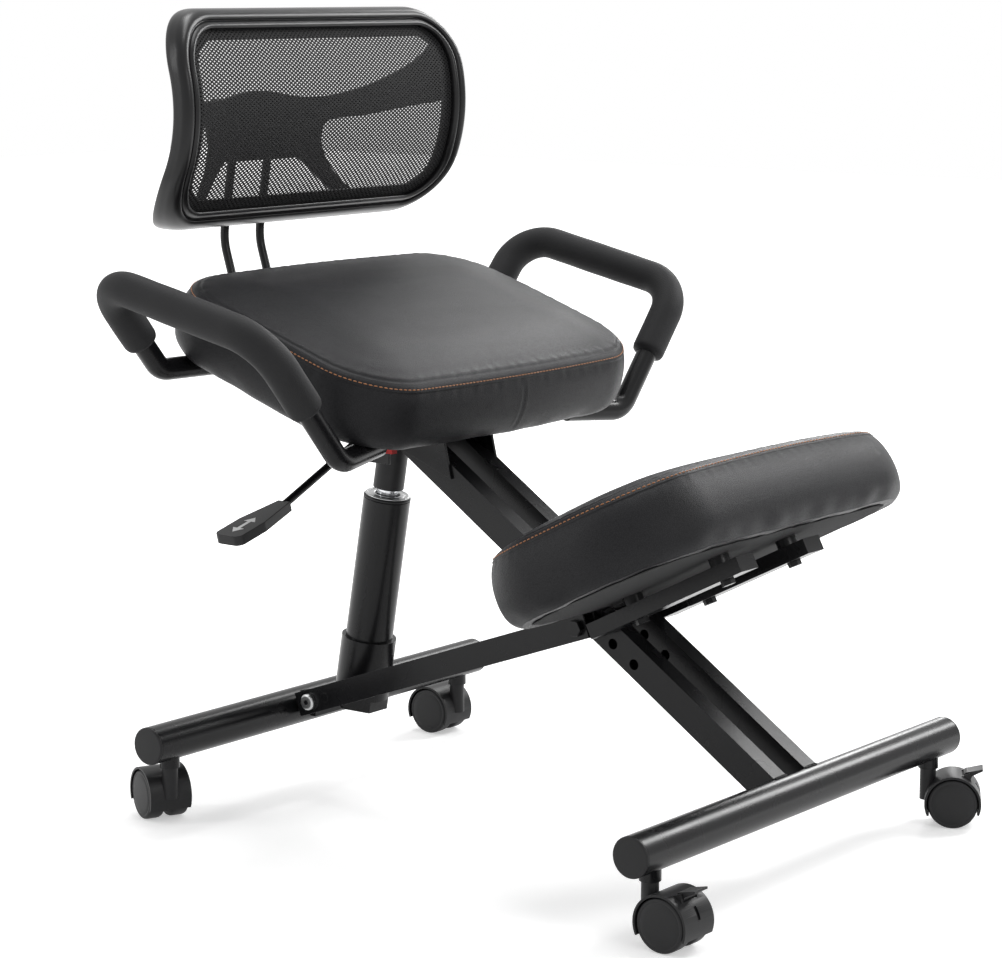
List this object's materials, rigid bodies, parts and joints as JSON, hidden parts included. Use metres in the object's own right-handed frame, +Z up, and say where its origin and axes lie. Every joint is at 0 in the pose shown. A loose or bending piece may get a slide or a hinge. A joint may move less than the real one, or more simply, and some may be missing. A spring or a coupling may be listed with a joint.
{
  "type": "study chair",
  "caption": "Kneeling study chair: scissor frame on casters with gas lift, sloping padded seat with side handles, padded knee rest and a mesh back on a bent rod.",
  "frame": {"origin": "middle of the bounding box at floor level", "axes": "+Z up, the chair faces -Y, the sitter's right hand is at -X; X is the width"},
  "size_m": [0.688, 0.763, 0.806],
  "materials": {
    "black_steel": "satin black powder coat",
    "chrome_steel": "polished gas-spring rod",
    "bolt_steel": "zinc plated",
    "black_plastic": "moulded black nylon, half gloss",
    "wheel_plastic": "black nylon tread",
    "red_plastic": "red cap",
    "seat_leather": "charcoal faux leather with tan stitching",
    "grip_foam": "matte charcoal foam",
    "board_wood": "plywood under black lining cloth",
    "back_fabric": "black open net"
  },
  "bodies": {
    "rear_base": {"rear_crossbar": "black_steel", "rear_cap_right": "black_plastic", "rear_cap_left": "black_plastic", "rear_bracket": "black_steel"},
    "kneeler_frame": {"stretcher_right": "black_steel", "stretcher_left": "black_steel", "rear_bolt_right": "bolt_steel", "rear_bolt_left": "bolt_steel", "scissor_bolt": "bolt_steel", "lift_pin": "bolt_steel", "knee_arm_right": "black_steel", "knee_arm_left": "black_steel", "knee_bolt_right_rear": "bolt_steel", "knee_bolt_right_front": "bolt_steel", "knee_bolt_left_rear": "bolt_steel", "knee_bolt_left_front": "bolt_steel", "knee_board": "board_wood", "knee_cushion": "seat_leather"},
    "lift_cylinder": {"lift_socket": "black_steel", "lift_column": "black_steel", "column_bush": "black_plastic"},
    "lift_piston": {"lift_rod": "chrome_steel", "rod_sleeve": "black_plastic"},
    "lift_release": {"release_button": "red_plastic"},
    "seat_frame": {"rail_right": "black_steel", "rail_left": "black_steel", "scissor_bush": "black_steel", "front_crossbar": "black_steel", "front_cap_right": "black_plastic", "front_cap_left": "black_plastic", "seat_bracket": "black_steel", "top_pin": "bolt_steel", "seat_board": "board_wood", "seat_cushion": "seat_leather", "handle_tube_right": "black_steel", "handle_tube_left": "black_steel", "handle_grip_right": "grip_foam", "handle_grip_left": "grip_foam", "back_rod": "black_steel", "rod_clamp": "black_plastic", "back_rim": "black_plastic", "back_mesh": "back_fabric", "back_shell": "black_plastic"},
    "release_lever": {"lever_rod": "black_steel", "lever_paddle": "black_plastic"},
    "caster_front_right": {"caster_hood_front_right": "black_plastic"},
    "wheel_front_right_a": {"caster_wheel_front_right_a": "wheel_plastic"},
    "wheel_front_right_b": {"caster_wheel_front_right_b": "wheel_plastic"},
    "brake_front_right": {"brake_pedal_front_right": "black_plastic"},
    "caster_front_left": {"caster_hood_front_left": "black_plastic"},
    "wheel_front_left_a": {"caster_wheel_front_left_a": "wheel_plastic"},
    "wheel_front_left_b": {"caster_wheel_front_left_b": "wheel_plastic"},
    "brake_front_left": {"brake_pedal_front_left": "black_plastic"},
    "caster_rear_right": {"caster_hood_rear_right": "black_plastic"},
    "wheel_rear_right_a": {"caster_wheel_rear_right_a": "wheel_plastic"},
    "wheel_rear_right_b": {"caster_wheel_rear_right_b": "wheel_plastic"},
    "caster_rear_left": {"caster_hood_rear_left": "black_plastic"},
    "wheel_rear_left_a": {"caster_wheel_rear_left_a": "wheel_plastic"},
    "wheel_rear_left_b": {"caster_wheel_rear_left_b": "wheel_plastic"}
  },
  "joints": [
    {"name": "rear_tilt", "type": "hinge", "parent": "rear_base", "child": "kneeler_frame", "pos_m": [0, 0.2345, 0.0975], "axis": [1, 0, 0], "range_deg": [-5, 0]},
    {"name": "height_adjust", "type": "hinge", "parent": "kneeler_frame", "child": "seat_frame", "pos_m": [0, -0.1095, 0.222], "axis": [1, 0, 0], "range_deg": [0, 12]},
    {"name": "lift_swing", "type": "hinge", "parent": "kneeler_frame", "child": "lift_cylinder", "pos_m": [0, 0.21447, 0.10475], "axis": [1, 0, 0], "range_deg": [0, 4.6]},
    {"name": "lift_extend", "type": "slide", "parent": "lift_cylinder", "child": "lift_piston", "axis": [0, -0.1703, 0.9854], "range_m": [0, 0.063]},
    {"name": "lever_pull", "type": "hinge", "parent": "seat_frame", "child": "release_lever", "pos_m": [-0.0375, 0.1675, 0.3862], "axis": [0, 1, 0], "range_deg": [0, 4.2], "stiffness_Nm_per_rad": 2},
    {"name": "button_press", "type": "slide", "parent": "lift_piston", "child": "lift_release", "axis": [0, 0.1703, -0.9854], "range_m": [0, 0.003], "stiffness_N_per_m": 600},
    {"name": "swivel_front_right", "type": "hinge", "parent": "seat_frame", "child": "caster_front_right", "pos_m": [-0.24, -0.3245, 0.06], "axis": [0, 0, 1], "continuous": true},
    {"name": "roll_front_right_a", "type": "hinge", "parent": "caster_front_right", "child": "wheel_front_right_a", "pos_m": [-0.24, -0.3495, 0.025], "axis": [-1, 0, 0], "continuous": true},
    {"name": "roll_front_right_b", "type": "hinge", "parent": "caster_front_right", "child": "wheel_front_right_b", "pos_m": [-0.24, -0.3495, 0.025], "axis": [-1, 0, 0], "continuous": true},
    {"name": "brake_front_right", "type": "hinge", "parent": "caster_front_right", "child": "brake_front_right", "pos_m": [-0.24, -0.36363, 0.05158], "axis": [-1, 0, 0], "range_deg": [-18, 0]},
    {"name": "swivel_front_left", "type": "hinge", "parent": "seat_frame", "child": "caster_front_left", "pos_m": [0.24, -0.3245, 0.06], "axis": [0, 0, 1], "continuous": true},
    {"name": "roll_front_left_a", "type": "hinge", "parent": "caster_front_left", "child": "wheel_front_left_a", "pos_m": [0.2525, -0.34615, 0.025], "axis": [-0.866, -0.5, 0], "continuous": true},
    {"name": "roll_front_left_b", "type": "hinge", "parent": "caster_front_left", "child": "wheel_front_left_b", "pos_m": [0.2525, -0.34615, 0.025], "axis": [-0.866, -0.5, 0], "continuous": true},
    {"name": "brake_front_left", "type": "hinge", "parent": "caster_front_left", "child": "brake_front_left", "pos_m": [0.25957, -0.35839, 0.05158], "axis": [-0.866, -0.5, 0], "range_deg": [-18, 0]},
    {"name": "swivel_rear_right", "type": "hinge", "parent": "rear_base", "child": "caster_rear_right", "pos_m": [-0.228, 0.2725, 0.06], "axis": [0, 0, 1], "continuous": true},
    {"name": "roll_rear_right_a", "type": "hinge", "parent": "caster_rear_right", "child": "wheel_rear_right_a", "pos_m": [-0.21823, 0.29551, 0.025], "axis": [0.9205, -0.3907, 0], "continuous": true},
    {"name": "roll_rear_right_b", "type": "hinge", "parent": "caster_rear_right", "child": "wheel_rear_right_b", "pos_m": [-0.21823, 0.29551, 0.025], "axis": [0.9205, -0.3907, 0], "continuous": true},
    {"name": "swivel_rear_left", "type": "hinge", "parent": "rear_base", "child": "caster_rear_left", "pos_m": [0.228, 0.2725, 0.06], "axis": [0, 0, 1], "continuous": true},
    {"name": "roll_rear_left_a", "type": "hinge", "parent": "caster_rear_left", "child": "wheel_rear_left_a", "pos_m": [0.228, 0.2975, 0.025], "axis": [1, 0, 0], "continuous": true},
    {"name": "roll_rear_left_b", "type": "hinge", "parent": "caster_rear_left", "child": "wheel_rear_left_b", "pos_m": [0.228, 0.2975, 0.025], "axis": [1, 0, 0], "continuous": true}
  ],
  "couplings": [
    {"joint": "rear_tilt", "follows": "height_adjust", "ratio": -0.4014},
    {"joint": "lift_swing", "follows": "height_adjust", "ratio": 0.3702},
    {"joint": "lift_extend", "follows": "height_adjust", "m_per_rad": 0.2939},
    {"joint": "button_press", "follows": "lever_pull", "m_per_rad": 0.0409}
  ]
}
